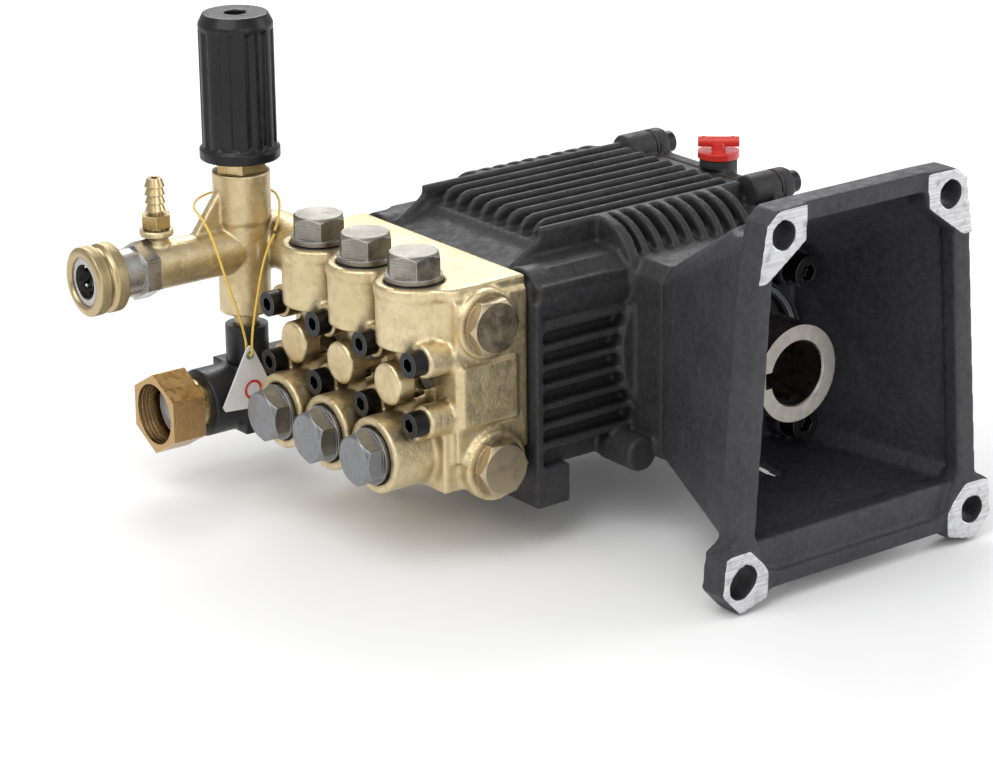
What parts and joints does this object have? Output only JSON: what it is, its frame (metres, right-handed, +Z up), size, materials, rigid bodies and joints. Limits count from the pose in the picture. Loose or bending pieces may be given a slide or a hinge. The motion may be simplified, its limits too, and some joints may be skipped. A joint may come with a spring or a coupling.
{
  "type": "pressure washer pump",
  "caption": "Direct-drive plunger pressure washer pump with finned crankcase, engine flange housing, brass manifold, unloader with knob, swivel inlet and quick-coupler outlet.",
  "frame": {"origin": "on the drive shaft axis, in the plane of the engine flange's machined pads", "axes": "+Y along the drive shaft away from the engine, +Z up, +X away from the brass manifold, so the plungers point to -X"},
  "size_m": [0.2684, 0.2593, 0.1914],
  "materials": {
    "crankcase": "satin powder coat over cast aluminium",
    "bell": "satin powder coat, bolt pads machined bright",
    "cover": "satin powder coat",
    "gasket": "compressed fibre",
    "steel": "zinc plated",
    "black_screw": "black oxide",
    "sight": "clear amber",
    "brass": "cast, lightly shot blasted",
    "brass_turned": "turned",
    "red_plastic": "moulded",
    "shaft_steel": "turned and ground",
    "bearing_steel": "polished",
    "seal_rubber": "moulded nitrile",
    "rod_alloy": "die cast",
    "ceramic": "ground and polished",
    "cap_steel": "dull nickel plate",
    "black_plastic": "moulded",
    "black_metal": "black anodised",
    "mesh_plastic": "moulded mesh",
    "tag_card": "coated card",
    "string": "twisted cord"
  },
  "bodies": {
    "pump": {"crankcase": "crankcase", "bell_housing": "bell", "rear_cover": "cover", "rear_cover_gasket": "gasket", "far_bearing_cover": "cover", "cover_screws": "black_screw", "bell_screws": "black_screw", "sight_glass": "sight", "drain_plug": "brass_turned", "drive_bearing": "bearing_steel", "far_bearing": "bearing_steel", "shaft_seal": "seal_rubber", "seal_retaining_ring": "bearing_steel", "crosshead_oil_seals": "seal_rubber", "manifold": "brass", "manifold_screws": "black_screw", "plunger_packings": "seal_rubber", "packing_retainers": "brass_turned", "valve_caps": "cap_steel", "cap_o_rings": "seal_rubber", "valve_seats": "bearing_steel", "valve_springs": "bearing_steel", "gallery_plugs": "brass_turned", "unloader_body": "brass", "unloader_gland": "brass_turned", "unloader_spring": "steel", "bypass_tube": "black_metal", "inlet_elbow": "black_metal", "swivel_shank": "brass_turned", "inlet_filter": "mesh_plastic", "hose_barb": "brass_turned", "coupler_body": "cap_steel", "coupler_balls": "bearing_steel", "tag": "tag_card", "tag_string": "string"},
    "crank": {"crankshaft": "shaft_steel"},
    "valve_plate": {"unloader_spring_plate": "steel"},
    "knob": {"unloader_knob": "black_plastic"},
    "piston": {"unloader_piston": "bearing_steel"},
    "sleeve": {"coupler_sleeve": "brass_turned"},
    "nut": {"swivel_nut": "brass_turned"},
    "dipstick": {"oil_cap": "red_plastic"},
    "rod_1": {"conrod_1": "rod_alloy", "wrist_pin_1": "bearing_steel"},
    "ram_1": {"crosshead_1": "shaft_steel", "plunger_1": "ceramic"},
    "suction_1": {"suction_poppet_1": "bearing_steel"},
    "discharge_1": {"discharge_poppet_1": "bearing_steel"},
    "rod_2": {"conrod_2": "rod_alloy", "wrist_pin_2": "bearing_steel"},
    "ram_2": {"crosshead_2": "shaft_steel", "plunger_2": "ceramic"},
    "suction_2": {"suction_poppet_2": "bearing_steel"},
    "discharge_2": {"discharge_poppet_2": "bearing_steel"},
    "rod_3": {"conrod_3": "rod_alloy", "wrist_pin_3": "bearing_steel"},
    "ram_3": {"crosshead_3": "shaft_steel", "plunger_3": "ceramic"},
    "suction_3": {"suction_poppet_3": "bearing_steel"},
    "discharge_3": {"discharge_poppet_3": "bearing_steel"}
  },
  "joints": [
    {"name": "crank_spin", "type": "hinge", "parent": "pump", "child": "crank", "pos_m": [0, 0, 0], "axis": [0, 1, 0], "continuous": true},
    {"name": "rod_swing_1", "type": "hinge", "parent": "crank", "child": "rod_1", "pos_m": [0, 0.1255, 0.0042], "axis": [0, 1, 0], "continuous": true},
    {"name": "ram_slide_1", "type": "slide", "parent": "pump", "child": "ram_1", "axis": [1, 0, 0], "range_m": [-0.0042, 0.0042]},
    {"name": "suction_lift_1", "type": "slide", "parent": "pump", "child": "suction_1", "axis": [-1, 0, 0], "range_m": [0, 0.002], "stiffness_N_per_m": 250, "springref_m": -0.001},
    {"name": "discharge_lift_1", "type": "slide", "parent": "pump", "child": "discharge_1", "axis": [0, 0, 1], "range_m": [0, 0.002], "stiffness_N_per_m": 250, "springref_m": -0.001},
    {"name": "rod_swing_2", "type": "hinge", "parent": "crank", "child": "rod_2", "pos_m": [-0.00364, 0.157, -0.0021], "axis": [0, 1, 0], "continuous": true},
    {"name": "ram_slide_2", "type": "slide", "parent": "pump", "child": "ram_2", "axis": [1, 0, 0], "range_m": [-0.00056, 0.00784]},
    {"name": "suction_lift_2", "type": "slide", "parent": "pump", "child": "suction_2", "axis": [-1, 0, 0], "range_m": [0, 0.002], "stiffness_N_per_m": 250, "springref_m": -0.001},
    {"name": "discharge_lift_2", "type": "slide", "parent": "pump", "child": "discharge_2", "axis": [0, 0, 1], "range_m": [0, 0.002], "stiffness_N_per_m": 250, "springref_m": -0.001},
    {"name": "rod_swing_3", "type": "hinge", "parent": "crank", "child": "rod_3", "pos_m": [0.00364, 0.1885, -0.0021], "axis": [0, 1, 0], "continuous": true},
    {"name": "ram_slide_3", "type": "slide", "parent": "pump", "child": "ram_3", "axis": [1, 0, 0], "range_m": [-0.00784, 0.00056]},
    {"name": "suction_lift_3", "type": "slide", "parent": "pump", "child": "suction_3", "axis": [-1, 0, 0], "range_m": [0, 0.002], "stiffness_N_per_m": 250, "springref_m": -0.001},
    {"name": "discharge_lift_3", "type": "slide", "parent": "pump", "child": "discharge_3", "axis": [0, 0, 1], "range_m": [0, 0.002], "stiffness_N_per_m": 250, "springref_m": -0.001},
    {"name": "regulator_slide", "type": "slide", "parent": "pump", "child": "valve_plate", "axis": [0, 0, 1], "range_m": [0, 0.0045], "deforming": ["unloader_spring"]},
    {"name": "knob_turn", "type": "hinge", "parent": "valve_plate", "child": "knob", "pos_m": [-0.1145, 0.243, 0.09], "axis": [0, 0, 1], "range_deg": [0, 1080]},
    {"name": "bypass_lift", "type": "slide", "parent": "pump", "child": "piston", "axis": [0, 0, 1], "range_m": [0, 0.002], "stiffness_N_per_m": 2000, "springref_m": -0.002},
    {"name": "sleeve_slide", "type": "slide", "parent": "pump", "child": "sleeve", "axis": [1, 0, 0], "range_m": [0, 0.004], "stiffness_N_per_m": 800, "springref_m": -0.002},
    {"name": "nut_spin", "type": "hinge", "parent": "pump", "child": "nut", "pos_m": [-0.16, 0.243, -0.038], "axis": [1, 0, 0], "continuous": true},
    {"name": "dipstick_pull", "type": "slide", "parent": "pump", "child": "dipstick", "axis": [0, 0, 1], "range_m": [0, 0.045]}
  ],
  "couplings": [
    {"joint": "rod_swing_1", "follows": "crank_spin", "ratio": -1},
    {"joint": "rod_swing_2", "follows": "crank_spin", "ratio": -1},
    {"joint": "rod_swing_3", "follows": "crank_spin", "ratio": -1},
    {"joint": "knob_turn", "follows": "regulator_slide", "rad_per_m": 4188.8}
  ]
}
